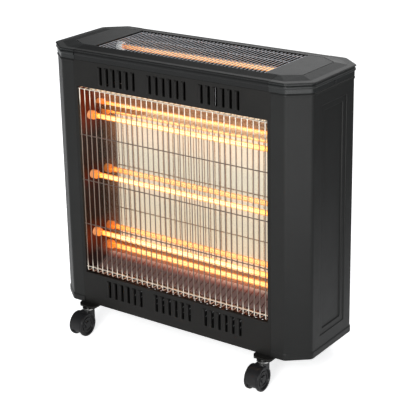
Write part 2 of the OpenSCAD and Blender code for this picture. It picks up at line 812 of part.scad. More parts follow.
module hood() {
    fender_in = wheel_r - fender_t;
    fender_w = caster_w - 2 * tread_w - 2 * seat;
    neck_z = wheel_r + 2;
    fender_z = wheel_r - 6;
    difference() {
        union() {
            hood_slice(fender_w) intersection() {
                translate([trail, wheel_r]) circle(r = hood_r);
                translate([-wheel_d, fender_z]) square(3 * wheel_d);
            }
            hood_slice(neck_w) polygon(rounded([
                [-neck_w / 2, neck_z], [trail, neck_z], [trail, hood_top], [-neck_w / 2, hood_top]
            ], 1.5));
            hood_slice(web_w) intersection() {
                translate([trail, wheel_r]) circle(r = fender_in - 1);
                translate([-wheel_d, fender_z - 9]) square(3 * wheel_d);
            }
        }
        for (side = [-1, 1])
            translate([side > 0 ? web_w / 2 : -caster_w, trail, wheel_r])
                rotate([0, 90, 0]) cylinder(r = fender_in, h = caster_w - web_w / 2);
        rod_z(pin_d + 2 * run_fit, 0, 0, hood_top - socket_deep - clear, foot_z + 5);
        rod_x(axle_d, -caster_w, caster_w, trail, wheel_r);
    }
}

module axle() {
    half_len = caster_w / 2 - 3;
    rod_x(axle_d, -half_len, half_len, trail, wheel_r);
}

// One wheel: tread outside, a smaller rim under the hood, and a dished face whose rim, middle
// ring and hub stand up
module wheel(side) {
    outer = caster_w / 2;
    inner = web_w / 2 + clear;
    step = outer - tread_w;
    dish = outer - dish_deep;
    rim_r = wheel_r - fender_t - 0.6;
    rim_w = 4;
    ring_r = wheel_r * 0.57;
    ring_w = 2.2;
    hub_r = wheel_r * 0.3;
    translate([0, trail, wheel_r]) rotate([0, side * 90, 0]) difference() {
        rotate_extrude() polygon([
            [0, inner], [rim_r, inner], [rim_r, step], [wheel_r, step],
            [wheel_r, outer - 1.5], [wheel_r - 0.3, outer - 0.7], [wheel_r - 0.8, outer - 0.2],
            [wheel_r - 1.6, outer], [wheel_r - rim_w, outer], [wheel_r - rim_w - 1, dish],
            [ring_r + ring_w / 2 + 0.6, dish], [ring_r + ring_w / 2, dish + 1.4],
            [ring_r - ring_w / 2, dish + 1.4], [ring_r - ring_w / 2 - 0.6, dish],
            [hub_r + 0.8, dish], [hub_r, outer - 0.6], [hub_r - 0.8, outer - 0.2],
            [0, outer - 0.2]
        ]);
        translate([0, 0, inner - 1])
            cylinder(d = axle_d + 2 * run_fit, h = outer - 3 + clear - inner + 1);
    }
}

module caster_stem(x, y) color([0.6, 0.6, 0.6]) at_caster(x, y) stem();
module caster_hood(x, y) color([0.16, 0.16, 0.16]) at_caster(x, y) hood();
module caster_axle(x, y) color([0.6, 0.6, 0.6]) at_caster(x, y) axle();

// The outer wheel is the one on the cabinet's outer side
module outer_wheel(x, y) color([0.14, 0.14, 0.14]) at_caster(x, y) wheel(x * y);
module inner_wheel(x, y) color([0.14, 0.14, 0.14]) at_caster(x, y) wheel(-x * y);

// ---------------------------------------------------------------- switches and wiring

function switch_heights() = [top_z - switch_in, top_z - switch_in - switch_gap];

module at_switch(i) {
    translate([switch_x - bezel_t, 0, switch_heights()[i]]) children();
}

// Bezel outside the recess and body behind it, with a well for the rocker
module switch_housing(i) color([0.1, 0.1, 0.1]) at_switch(i) difference() {
    union() {
        block([0, -bezel_w / 2, -bezel_h / 2], [bezel_t - seat, bezel_w / 2, bezel_h / 2]);
        block([0.5, -bezel_w / 2 + 2, -bezel_h / 2 + 2],
              [switch_deep, bezel_w / 2 - 2, bezel_h / 2 - 2]);
    }
    block([-5, -well_w / 2, -well_h / 2], [pivot_in + 8, well_w / 2, well_h / 2]);
    rod_y(pivot_d + 2 * run_fit, pivot_in, -well_w / 2 - 1.4, well_w / 2 + 1.4, 0, 24);
}

module rocker(i) color([0.5, 0.08, 0.06]) at_switch(i)
    translate([pivot_in, 0, 0]) rotate([0, rocker_tilt, 0]) {
        rotate([90, 0, 0]) linear_extrude(well_w - 2 * clear, center = true) polygon([
            [4, -9], [4, 9], [-3.6, 9.4], [-4.6, 8.6], [-3.6, 0], [-4.6, -8.6], [-3.6, -9.4]
        ]);
        rod_y(pivot_d, 0, -well_w / 2 - 1.2, well_w / 2 + 1.2, 0, 24);
    }

module terminal_block() color([0.9, 0.9, 0.85]) {
    x = block_x;
    y = loom_y - 30;
    z = base_z + wall;
    deep = 22;
    block([x, y, z], [x + 40, y + deep, z + 6]);
    for (i = [0:3])
        block([x + 1 + i * 10, y + 3, z + 5], [x + 9 + i * 10, y + deep - 3, z + 18]);
}

// Trunks up both sides and across the floor, with branches to the lamps' pins, the terminal
// block, the switches and the thermal cut-out
module wiring_loom() color([0.8, 0.75, 0.6]) {
    out = wall_x + sheet + 14;
    floor_z = base_z + 12;
    rear_y = loom_y;
    pins = concat([for (z = lamp_heights) [lamp_y, z]], [[top_lamp_y, top_z + top_lamp_z]]);
    rod_x(7, -out, out, rear_y, floor_z, 8);
    for (side = [-1, 1]) {
        rod_z(7, side * out, rear_y, floor_z - 3, top_z + top_lamp_z - 6, 8);
        for (p = pins) {
            rod_y(3, side * out, p.x - 1.5, rear_y, p.y - 8, 8);
            rod_z(2.6, side * out, p.x, p.y - 9, p.y - 1.2 - seat, 8);
        }
    }
    lead_x = block_x + 36;
    rod_y(4, lead_x, loom_y - 11 + seat, rear_y, floor_z, 8);
    rod_x(4, min(lead_x, -out) - 2, max(lead_x, -out) + 2, rear_y, floor_z, 8);
    for (z = switch_heights()) {
        rod_x(4, switch_x - bezel_t + switch_deep + seat, switch_x + switch_deep + 4, 0, z, 8);
        rod_y(4, switch_x + switch_deep + 3, -2, rear_y + 2, z, 8);
        rod_x(4, switch_x + switch_deep + 3, -out, rear_y, z, 8);
    }
    rod_y(3, -out, lamp_y - 1.5, rear_y, cutout_z, 8);
    rod_x(2.6, -out, -wall_x - sheet - 8 - seat, lamp_y, cutout_z, 8);
}

module thermal_cutout() color([0.85, 0.85, 0.85])
    rod_x(16, -wall_x - sheet - 8, -wall_x - sheet, lamp_y, cutout_z);

module tip_over_switch() color([0.9, 0.9, 0.85]) {
    x = gland_x + 20;
    y = half_d - 32;
    z = base_z + sheet;
    block([x, y, z], [x + 32, y + 22, z + 2.5]);
    block([x + 4, y + 2, z + 2], [x + 28, y + 20, z + 26]);
}

// Bush in the back panel for the mains lead
module cord_gland() color([0.1, 0.1, 0.1]) difference() {
    union() {
        rod_y(2 * gland_r - 0.2, gland_x, half_d - 9, half_d + 1, gland_z);
        rod_y(2 * gland_r + 5, gland_x, half_d, half_d + 4, gland_z);
        rod_y(2 * gland_r + 4, gland_x, half_d - 9, half_d - sheet, gland_z);
    }
    rod_y(2 * cord_r, gland_x, half_d - 20, half_d + 20, gland_z);
}

module case_screws() color([0.45, 0.45, 0.45]) {
    for (side = [-1, 1]) {
        for (z = back_screw_heights()) {
            rod_y(7, side * screw_x, half_d, half_d + 2, z, 24);
            rod_y(2 * screw_r, side * screw_x, half_d - 4, half_d + 1, z, 24);
        }
        mirror([side > 0 ? 0 : 1, 0, 0]) {
            rod_x(2 * cap_screw_r, half_w - 3, half_w + skirt_out + 1, 0, cap_screw_z(), 24);
            rod_x(4 * cap_screw_r, half_w + skirt_out, half_w + skirt_out + 1.2, 0, cap_screw_z(), 24);
        }
    }
}

// ---------------------------------------------------------------- the nodes

front_panel();
back_panel();
base_panel();
left_side_moulding();
right_side_moulding();
left_end_cap();
right_end_cap();
front_top_rail();
rear_top_rail();
top_grille();
front_guard();
reflector();
left_chamber_wall();
right_chamber_wall();
top_reflector();
front_tube(0);  // upper_tube
front_tube(1);  // middle_tube
front_tube(2);  // lower_tube
top_tube();
front_filament(0);  // upper_filament
front_filament(1);  // middle_filament
front_filament(2);  // lower_filament
top_filament();
front_ceramics(0);  // upper_ceramics
front_ceramics(1);  // middle_ceramics
front_ceramics(2);  // lower_ceramics
top_ceramics();
left_foot_bar();
right_foot_bar();
foot_bolts();
caster_stem(-1, -1);  // front_left_stem
caster_hood(-1, -1);  // front_left_hood
caster_axle(-1, -1);  // front_left_axle
outer_wheel(-1, -1);  // front_left_outer_wheel
inner_wheel(-1, -1);  // front_left_inner_wheel
caster_stem(1, -1);  // front_right_stem
caster_hood(1, -1);  // front_right_hood
caster_axle(1, -1);  // front_right_axle
outer_wheel(1, -1);  // front_right_outer_wheel
inner_wheel(1, -1);  // front_right_inner_wheel
caster_stem(-1, 1);  // rear_left_stem
caster_hood(-1, 1);  // rear_left_hood
caster_axle(-1, 1);  // rear_left_axle
outer_wheel(-1, 1);  // rear_left_outer_wheel
inner_wheel(-1, 1);  // rear_left_inner_wheel
caster_stem(1, 1);  // rear_right_stem
caster_hood(1, 1);  // rear_right_hood
caster_axle(1, 1);  // rear_right_axle
outer_wheel(1, 1);  // rear_right_outer_wheel
inner_wheel(1, 1);  // rear_right_inner_wheel
switch_housing(0);  // upper_switch_housing
switch_housing(1);  // lower_switch_housing
rocker(0);  // upper_rocker
rocker(1);  // lower_rocker
terminal_block();
wiring_loom();
thermal_cutout();
tip_over_switch();
cord_gland();
case_screws();
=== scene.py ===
"""Looks of an upright halogen heater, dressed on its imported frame. Metres, +X right, +Y back, +Z up."""

import math

import bmesh
import bpy
from mathutils import Matrix, Vector


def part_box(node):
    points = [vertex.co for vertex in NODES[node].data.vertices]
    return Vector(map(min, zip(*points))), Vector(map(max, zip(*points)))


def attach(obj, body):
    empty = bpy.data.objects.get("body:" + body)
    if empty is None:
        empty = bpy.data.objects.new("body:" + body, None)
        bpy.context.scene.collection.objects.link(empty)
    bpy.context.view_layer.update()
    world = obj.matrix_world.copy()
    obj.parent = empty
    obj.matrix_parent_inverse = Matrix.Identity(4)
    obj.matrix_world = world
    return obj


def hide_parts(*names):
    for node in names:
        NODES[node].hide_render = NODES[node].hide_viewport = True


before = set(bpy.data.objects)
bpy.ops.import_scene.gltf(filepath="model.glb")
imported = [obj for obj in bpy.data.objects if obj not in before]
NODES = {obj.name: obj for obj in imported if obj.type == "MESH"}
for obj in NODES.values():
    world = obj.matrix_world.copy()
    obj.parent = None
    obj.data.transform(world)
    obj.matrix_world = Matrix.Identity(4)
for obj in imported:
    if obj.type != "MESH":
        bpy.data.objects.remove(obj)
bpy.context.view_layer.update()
FRONT_TUBES = ("upper", "middle", "lower")
CASTERS = [f + "_" + s for f in ("front", "rear") for s in ("left", "right")]

# ------------------------------------------------------------------ shader nodes


def plug(tree, socket, value):
    """Sets an input to a value, or links it to an output."""
    if isinstance(value, bpy.types.NodeSocket):
        tree.links.new(value, socket)
    else:
        socket.default_value = value


def feed(tree, node, **inputs):
    """Plugs values or outputs into a node's inputs, by their names."""
    for name, value in inputs.items():
        plug(tree, node.inputs[name.replace("_", " ")], value)


def add_node(tree, kind, *values, operation=None, **inputs):
    """A new node whose inputs are given in order, by name or both."""
    node = tree.nodes.new("ShaderNode" + kind)
    if operation:
        node.operation = operation
    for socket, value in zip(node.inputs, values):
        plug(tree, socket, value)
    feed(tree, node, **inputs)
    return node


def math_node(tree, operation, *values):
    return add_node(tree, "Math", *values, operation=operation).outputs[0]


def spread(tree, value, low, high):
    """Maps a value between two (value, result) pairs, and holds the results beyond them."""
    node = add_node(tree, "MapRange", Value=value, From_Min=low[0], To_Min=low[1],
                    From_Max=high[0], To_Max=high[1])
    return node.outputs["Result"]


def reach(tree, vector, direction):
    """How far a vector reaches in a direction."""
    return add_node(tree, "VectorMath", vector, direction, operation="DOT_PRODUCT").outputs["Value"]


def distance(tree, coords, axis, place):
    """How far a point lies from a place on one axis, to either side."""
    split = add_node(tree, "SeparateXYZ", Vector=coords)
    return math_node(tree, "ABSOLUTE", math_node(tree, "SUBTRACT", split.outputs[axis], place))


def mix_shaders(tree, share, first, second):
    """Blends two shaders. The share is the second one's."""
    return add_node(tree, "MixShader", share, first.outputs[0], second.outputs[0])


class Surface:
    """A procedural material: one shader and the texture nodes that feed it."""

    NOISE_ROUGHNESS = 0.6
    EDGE_SAMPLES = 6

    def __init__(self, name, **inputs):
        self.material = bpy.data.materials.new(name)
        self.material.use_nodes = True
        self.tree = self.material.node_tree
        self.shader = self.tree.nodes["Principled BSDF"]
        self.coords = add_node(self.tree, "TexCoord").outputs["Object"]
        self.feed(**inputs)

    def feed(self, **inputs):
        feed(self.tree, self.shader, **inputs)

    def noise(self, scale, detail=3.0, stretch=None):
        place = self.coords
        if stretch:
            place = add_node(self.tree, "Mapping", Vector=place, Scale=stretch).outputs["Vector"]
        node = add_node(self.tree, "TexNoise", Vector=place, Scale=scale, Detail=detail,
                        Roughness=self.NOISE_ROUGHNESS)
        return node.outputs["Fac"]

    def cells(self, scale):
        return add_node(self.tree, "TexVoronoi", Vector=self.coords, Scale=scale).outputs["Distance"]

    def along(self, axis, start, end):
        """0 at the place start on an axis, 1 at end. Both sides of X count alike."""
        return spread(self.tree, distance(self.tree, self.coords, axis, 0), (start, 0), (end, 1))

    def ramp(self, factor, *stops):
        """Colours along a factor: each stop is (position, colour)."""
        node = add_node(self.tree, "ValToRGB", Fac=factor)
        elements = node.color_ramp.elements
        while len(elements) < len(stops):
            elements.new(0.5)
        for element, (position, colour) in zip(elements, stops):
            element.position = position
            element.color = (*colour, 1)
        return node.outputs["Color"]

    def shades(self, factor, colour, vary):
        """A colour that a factor makes darker and lighter by a share of itself."""
        dark = tuple(c * (1 - vary) for c in colour)
        light = tuple(min(c * (1 + vary), 1) for c in colour)
        self.feed(Base_Color=self.ramp(factor, (0.3, dark), (0.7, light)))

    def roughness(self, factor, low, high):
        self.feed(Roughness=spread(self.tree, factor, (0, low), (1, high)))

    def glow(self, factor, strength, *stops):
        """Light that the surface gives off, with its colours along a factor."""
        self.feed(Emission_Color=self.ramp(factor, *stops), Emission_Strength=strength)

    def grain(self, height, depth, strength, edge=None):
        """Bump of a depth in metres. An edge radius softens the shading at sharp edges."""
        bump = add_node(self.tree, "Bump", Height=height, Distance=depth, Strength=strength)
        if edge:
            bevel = add_node(self.tree, "Bevel", Radius=edge)
            bevel.samples = self.EDGE_SAMPLES
            feed(self.tree, bump, Normal=bevel.outputs["Normal"])
        self.feed(Normal=bump.outputs["Normal"])


# ------------------------------------------------------------------ materials

# The chamber's painted light and shade, and its painted glow of scattered light, are laid from one height
# to the other.
PAINT_LOW = 0.12
PAINT_HIGH = 0.44
# The tubes' glow is even from their middle out to here.
EVEN_GLOW = 0.14
OFF = (0, 0, 0)


def powder_coat(name, colour):
    surface = Surface(name, Specular_IOR_Level=0.16)
    surface.shades(surface.noise(14), colour, vary=0.12)
    surface.roughness(surface.noise(60), 0.42, 0.52)
    surface.grain(surface.noise(2600, detail=2), depth=0.00012, strength=0.5, edge=0.0006)
    return surface.material


def moulded_plastic(name, colour, low, high, specular):
    """Large mouldings with a fine leather grain. Low and high are the roughness."""
    surface = Surface(name, Specular_IOR_Level=specular)
    surface.shades(surface.noise(9), colour, vary=0.10)
    surface.roughness(surface.noise(45), low, high)
    surface.grain(surface.cells(1500), depth=0.00010, strength=0.5, edge=0.0012)
    return surface.material


def plain_plastic(name, colour, low, high, specular):
    """Small mouldings. Low and high are the roughness."""
    surface = Surface(name, Specular_IOR_Level=specular)
    surface.shades(surface.noise(50), colour, vary=0.08)
    surface.roughness(surface.noise(150), low, high)
    surface.grain(surface.noise(1200), depth=0.00004, strength=0.4, edge=0.0005)
    return surface.material


def rubber(name, colour):
    surface = Surface(name, Specular_IOR_Level=0.3)
    surface.shades(surface.noise(100), colour, vary=0.15)
    surface.roughness(surface.noise(300), 0.6, 0.75)
    surface.grain(surface.noise(1500), depth=0.00006, strength=0.5, edge=0.0004)
    return surface.material


def zinc_steel(name):
    surface = Surface(name, Metallic=1.0)
    surface.shades(surface.noise(120), (0.45, 0.45, 0.44), vary=0.15)
    surface.roughness(surface.noise(400), 0.28, 0.42)
    surface.grain(surface.noise(900), depth=0.00004, strength=0.4, edge=0.0003)
    return surface.material


def plated_wire(name, colour):
    surface = Surface(name, Metallic=0.35)
    surface.shades(surface.noise(80), colour, vary=0.10)
    surface.roughness(surface.noise(300), 0.34, 0.44)
    surface.grain(surface.noise(900), depth=0.00003, strength=0.4)
    return surface.material


def light_painted_wire(name, highlight_tone, shade_tone):
    """Plated wire with painted light: a painted highlight at its two bent ends and painted shade between
    them.
    """
    top = 0.50
    surface = Surface(name, Metallic=0.8)
    # Painted light: the pale tone at both ends is a painted highlight, the dark tone between is painted
    # shade.
    painted_tone = surface.ramp(surface.along("Z", PAINT_LOW, top),
                        (0.05, highlight_tone), (0.09, shade_tone), (0.91, shade_tone), (0.95, highlight_tone))
    surface.feed(Base_Color=painted_tone)
    surface.roughness(surface.noise(300), 0.24, 0.34)
    return surface.material


def polished_sheet(name, low, high, painted_tints, painted_scatter=None):
    """Brushed along the width, with a roughness of low to high under a faint haze. Painted tints and
    scatter are (height, colour), the height from 0 to 1: the tints are painted light and shade in the
    base colour.
    Scatter is a painted glow of the tubes' light on the front of the sheet, less towards its two sides."""
    haze_roughness = 0.38
    haze_share = 0.22
    side, full = 0.205, 0.160
    surface = Surface(name, Metallic=1.0)
    tree = surface.tree
    streaks = surface.noise(30, detail=4, stretch=(1, 30, 30))
    height = surface.along("Z", PAINT_LOW, PAINT_HIGH)
    # Painted light and shade in the base colour, by height.
    painted_tone = surface.ramp(height, *painted_tints)
    surface.feed(Base_Color=painted_tone)
    surface.roughness(streaks, low, high)
    surface.grain(streaks, depth=0.00002, strength=0.3)
    # Painted glow of the tubes' light on the sheet's front.
    if painted_scatter:
        normal = add_node(tree, "TexCoord").outputs["Normal"]
        front = spread(tree, reach(tree, normal, (0, -1, 0)), (0, 0), (1, 1))
        inwards = surface.along("X", side, full)
        surface.glow(height, math_node(tree, "MULTIPLY", front, inwards), *painted_scatter)
    haze = add_node(tree, "BsdfGlossy", Color=painted_tone, Roughness=haze_roughness)
    both = mix_shaders(tree, haze_share, surface.shader, haze)
    feed(tree, tree.nodes["Material Output"], Surface=both.outputs[0])
    return surface.material


def chamber_steel(name):
    """Dark steel with a painted glow of the tubes' scattered light on it at their three heights."""
    dim_glow_paint, strong_glow_paint = (0.05, 0.003, 0), (0.10, 0.007, 0)
    surface = Surface(name, Specular_IOR_Level=0.10)
    surface.shades(surface.noise(25), (0.018, 0.004, 0.003), vary=0.3)
    surface.roughness(surface.noise(90), 0.38, 0.5)
    # Painted glow of the tubes' light at their heights.
    surface.glow(surface.along("Z", PAINT_LOW, PAINT_HIGH), 1.0,
                 (0.10, OFF), (0.22, strong_glow_paint), (0.34, OFF), (0.53, OFF), (0.61, dim_glow_paint), (0.69, OFF),
                 (0.86, OFF), (0.98, strong_glow_paint))
    surface.grain(surface.noise(700), depth=0.00004, strength=0.4)
    return surface.material


def quartz(name, strength):
    tube_end = 0.205
    surface = Surface(name, Roughness=0.08, Alpha=0.5)
    surface.shades(surface.noise(40), (0.60, 0.25, 0.06), vary=0.05)
    surface.glow(surface.along("X", EVEN_GLOW, tube_end), strength,
                 (0.0, (1.0, 0.44, 0.11)), (1.0, (1.0, 0.26, 0.01)))
    surface.grain(surface.noise(60), depth=0.00005, strength=0.2)
    return surface.material


def hot_wire(name, strength):
    coil_end = 0.20
    surface = Surface(name, Metallic=1.0, Roughness=0.4)
    surface.shades(surface.noise(300), (0.6, 0.5, 0.4), vary=0.1)
    surface.glow(surface.along("X", EVEN_GLOW, coil_end), strength,
                 (0.0, (1.0, 0.86, 0.60)), (1.0, (1.0, 0.55, 0.08)))
    surface.grain(surface.noise(1500), depth=0.00003, strength=0.3)
    return surface.material


def lit_ceramic(name, inner, outer, strength, ceramic_light_paint):
    """Ceramic with light painted on it: the colour goes from inner to outer and the painted glow fades by
    half.
    """
    fade_start, fade_end = 0.204, 0.214
    surface = Surface(name, Specular_IOR_Level=0.3)
    outwards = surface.along("X", fade_start, fade_end)
    surface.feed(Base_Color=surface.ramp(outwards, (0.0, inner), (1.0, outer)))
    surface.roughness(surface.noise(200), 0.6, 0.8)
    # Painted glow of the tube's light on the ceramic.
    surface.glow(outwards, strength, (0.0, ceramic_light_paint), (1.0, tuple(c / 2 for c in ceramic_light_paint)))
    surface.grain(surface.noise(900), depth=0.00008, strength=0.5)
    return surface.material


# ------------------------------------------------------------------ looks of the solids


def dress(material, *names):
    for name in names:
        slots = NODES[name].data.materials
        slots.clear()
        slots.append(material)


def smooth_nodes():
    """Smooth shading, except over edges that are sharper than the crease."""
    crease = math.radians(35)
    for name in NODES:
        NODES[name].data.shade_smooth()
        NODES[name].data.set_sharp_from_angle(angle=crease)


def dress_case():
    steel = powder_coat("black_powder_coat", (0.0125, 0.0120, 0.0112))
    dress(steel, "front_panel", "back_panel", "base_panel", "left_foot_bar", "right_foot_bar")
    side = moulded_plastic("side_plastic", (0.0140, 0.0142, 0.0138), 0.40, 0.50, specular=0.18)
    dress(side, "left_side_moulding", "right_side_moulding")
    cap = moulded_plastic("cap_plastic", (0.0125, 0.0137, 0.0137), 0.27, 0.36, specular=0.32)
    dress(cap, "left_end_cap", "right_end_cap")
    rail = moulded_plastic("rail_plastic", (0.0085, 0.0088, 0.0088), 0.28, 0.38, specular=0.22)
    dress(rail, "front_top_rail", "rear_top_rail")


def mirror_material():
    """Polished aluminium with painted reflections of the tubes: dark brown at the foot, cream and warm
    straw above, and a painted glow of their scattered light.
    """
    # Painted reflections of the tubes' glow in the base colour, by height.
    painted_tints = ((0.115, (0.28, 0.17, 0.15)), (0.145, (0.96, 0.90, 0.72)), (0.22, (0.86, 0.64, 0.42)),
             (0.32, (0.74, 0.64, 0.46)), (0.62, (0.66, 0.63, 0.49)), (0.95, (0.78, 0.72, 0.56)))
    # Painted glow of the tubes' scattered light, by height.
    faint, weak = (0.07, 0.01, 0), (0.24, 0.06, 0.01)
    strong, fading = (0.50, 0.06, 0.01), (0.36, 0.08, 0.01)
    painted_scatter = ((0.10, OFF), (0.14, strong), (0.20, fading), (0.29, faint), (0.49, faint),
               (0.57, weak), (0.65, faint), (0.79, faint), (0.89, weak))
    return polished_sheet("polished_aluminium", 0.03, 0.07, painted_tints, painted_scatter)


def dress_chamber(mirror):
    dress(mirror, "reflector")
    # The top reflector's near-black tones are painted shade.
    shade_paint = ((0.0, (0.016, 0.014, 0.013)), (1.0, (0.018, 0.015, 0.013)))
    dress(polished_sheet("shaded_aluminium", 0.30, 0.42, shade_paint), "top_reflector")
    dress(chamber_steel("chamber_steel"), "left_chamber_wall", "right_chamber_wall")


def dress_tubes():
    dress(quartz("quartz_front", 0.9), *[name + "_tube" for name in FRONT_TUBES])
    dress(quartz("quartz_top", 0.7), "top_tube")
    amber, pale_amber, orange_light_paint = (0.72, 0.30, 0.10), (0.78, 0.42, 0.20), (1.0, 0.20, 0.015)
    # The front ceramics carry a painted orange glow of their tubes.
    dress(lit_ceramic("ceramic_front", amber, pale_amber, 0.5, orange_light_paint),
          *[name + "_ceramics" for name in FRONT_TUBES])
    # The top ceramics carry a painted white glow.
    white, white_light_paint = (0.82, 0.84, 0.85), (0.9, 0.9, 0.86)
    dress(lit_ceramic("ceramic_top", white, white, 0.6, white_light_paint), "top_ceramics")


def dress_hardware():
    dress(zinc_steel("zinc"), "foot_bolts", "thermal_cutout",
          *[caster + part for caster in CASTERS for part in ("_stem", "_axle")])
    dress(plain_plastic("black_screws", (0.02, 0.02, 0.02), 0.35, 0.45, specular=0.4), "case_screws")
    dress(plain_plastic("hood_plastic", (0.013, 0.013, 0.014), 0.34, 0.44, specular=0.3),
          *[caster + "_hood" for caster in CASTERS])
    dress(plain_plastic("wheel_plastic", (0.015, 0.015, 0.016), 0.30, 0.40, specular=0.22),
          *[caster + wheel for caster in CASTERS for wheel in ("_outer_wheel", "_inner_wheel")])


def dress_electrics():
    dress(plain_plastic("switch_plastic", (0.015, 0.015, 0.015), 0.2, 0.3, specular=0.5),
          "upper_switch_housing", "lower_switch_housing")
    dress(plain_plastic("rocker_plastic", (0.35, 0.02, 0.015), 0.15, 0.25, specular=0.5),
          "upper_rocker", "lower_rocker")
    dress(plain_plastic("block_plastic", (0.72, 0.70, 0.62), 0.4, 0.5, specular=0.5),
          "terminal_block", "tip_over_switch")
    dress(rubber("wire_sleeve", (0.65, 0.62, 0.55)), "wiring_loom")
    dress(rubber("gland_rubber", (0.02, 0.02, 0.02)), "cord_gland")


# ------------------------------------------------------------------ built pieces


def new_object(name, mesh, material):
    obj = bpy.data.objects.new(name, mesh)
    mesh.materials.append(material)
    bpy.context.scene.collection.objects.link(obj)
    return obj


def finish_mesh(bm, name, crease=50):
    """Turns the faces outwards, and shades them smooth except over edges sharper than the crease,
    in degrees."""
    bmesh.ops.recalc_face_normals(bm, faces=bm.faces)
    mesh = bpy.data.meshes.new(name)
    bm.to_mesh(mesh)
    bm.free()
    mesh.shade_smooth()
    mesh.set_sharp_from_angle(angle=math.radians(crease))
    return mesh


def sweep(bm, path, radius, sides=10):
    """Adds a round wire along a path of points. The path lies in one plane or is a smooth curve."""
    points = [Vector(p) for p in path]
    turns = [2 * math.pi * k / sides for k in range(sides)]
    rings = []
    normal = None
    for i, point in enumerate(points):
        ahead = points[min(i + 1, len(points) - 1)] - point
        behind = point - points[max(i - 1, 0)]
        tangent = (ahead.normalized() + behind.normalized()).normalized()
        if normal is None:
            helper = Vector((0, 0, 1)) if abs(tangent.z) < 0.9 else Vector((1, 0, 0))
            normal = tangent.cross(helper).normalized()
        normal = (normal - tangent * normal.dot(tangent)).normalized()
        side = tangent.cross(normal)
        rings.append([bm.verts.new(point + radius * (math.cos(turn) * normal + math.sin(turn) * side))
                      for turn in turns])
    for low, high in zip(rings, rings[1:]):
        for k in range(sides):
            after = (k + 1) % sides
            bm.faces.new((low[k], low[after], high[after], high[k]))
    bm.faces.new(list(reversed(rings[0])))
    bm.faces.new(rings[-1])


def bend(corner, start, end, radius, steps=4):
    """Points round a right-angled corner. Start and end point from it to where the path comes from
    and where it goes."""
    corner, start, end = Vector(corner), Vector(start), Vector(end)
    centre = corner + (start + end) * radius
    return [centre - radius * (math.cos(a) * end + math.sin(a) * start)
            for a in [math.pi / 2 * i / steps for i in range(steps + 1)]]


def prism(bm, outline, x0, x1):
    """Adds a solid with an outline of (y, z) points from x0 to x1."""
    ends = [[bm.verts.new((x, y, z)) for y, z in outline] for x in (x0, x1)]
    bm.faces.new(ends[0])
    bm.faces.new(list(reversed(ends[1])))
    for k in range(len(outline)):
        after = (k + 1) % len(outline)
        bm.faces.new((ends[0][k], ends[1][k], ends[1][after], ends[0][after]))


def build_guard(material):
    """Round-wire basket: uprights bent back at both ends, cross wires and rear edge wires."""
    low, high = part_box("front_guard")
    radius = 0.001
    bend_radius = 0.003
    pitch = 0.01225
    end_margin = 0.0017
    cross_wires = 5
    lowest_rise = 0.008
    crossing = 1.76 * radius
    half = math.floor((high[0] - end_margin) / pitch)
    front, back = low[1] + radius, high[1] - radius
    bottom, top = low[2] + radius, high[2] - radius
    bm = bmesh.new()
    for i in range(-half, half + 1):
        x = i * pitch
        path = [(x, back, bottom)]
        path += bend((x, front, bottom), (0, 1, 0), (0, 0, 1), bend_radius)
        path += bend((x, front, top), (0, 0, -1), (0, 1, 0), bend_radius)
        path += [(x, back, top)]
        sweep(bm, path, radius)
    highest = top - crossing
    step = (highest - bottom - lowest_rise) / (cross_wires - 1)
    for i in range(cross_wires):
        y, z = front + crossing, highest - i * step
        sweep(bm, [(low[0], y, z), (high[0], y, z)], radius)
    for z in (bottom + crossing, highest):
        sweep(bm, [(low[0], back, z), (high[0], back, z)], radius)
    guard = new_object("guard_basket", finish_mesh(bm, "guard_basket"), material)
    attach(guard, "heater")
    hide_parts("front_guard")


def build_reflector(material):
    """An upright sheet that flares in two slopes to a lip, above and below, in the space of the
    ridged sheet."""
    low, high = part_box("reflector")
    thick = 0.0008
    lip_y, lip_start, lip_end = -0.0840, 0.0018, 0.0087
    knee_y, knee_rise = -0.0640, 0.0399
    wall_y, wall_rise = -0.0464, 0.0566
    lower = [(low[1], low[2]), (lip_y, low[2] + lip_start), (lip_y, low[2] + lip_end),
             (knee_y, low[2] + knee_rise), (wall_y, low[2] + wall_rise)]
    front = lower + [(y, low[2] + high[2] - z) for y, z in reversed(lower)]
    back = [(y + thick, z) for y, z in reversed(front)]
    bm = bmesh.new()
    prism(bm, front + back, low[0], high[0])
    sheet = new_object("mirror_sheet", finish_mesh(bm, "mirror_sheet", crease=10), material)
    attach(sheet, "heater")
    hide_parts("reflector")


def build_grille(material):
    """Top grille: thin wires across the depth on a few wires along the width."""
    low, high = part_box("top_grille")
    radius = 0.0008
    pitch = 0.0084
    count = 45
    rows = 4
    row_reach = high[1] - 0.006
    crossing = 1.8 * radius
    z = high[2] - radius
    bm = bmesh.new()
    for i in range(count):
        x = (i - (count - 1) / 2) * pitch
        sweep(bm, [(x, low[1], z), (x, high[1], z)], radius)
    for i in range(rows):
        y = (i - (rows - 1) / 2) * 2 * row_reach / (rows - 1)
        sweep(bm, [(low[0], y, z - crossing), (high[0], y, z - crossing)], radius)
    grille = new_object("grille_wires", finish_mesh(bm, "grille_wires"), material)
    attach(grille, "heater")
    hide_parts("top_grille")


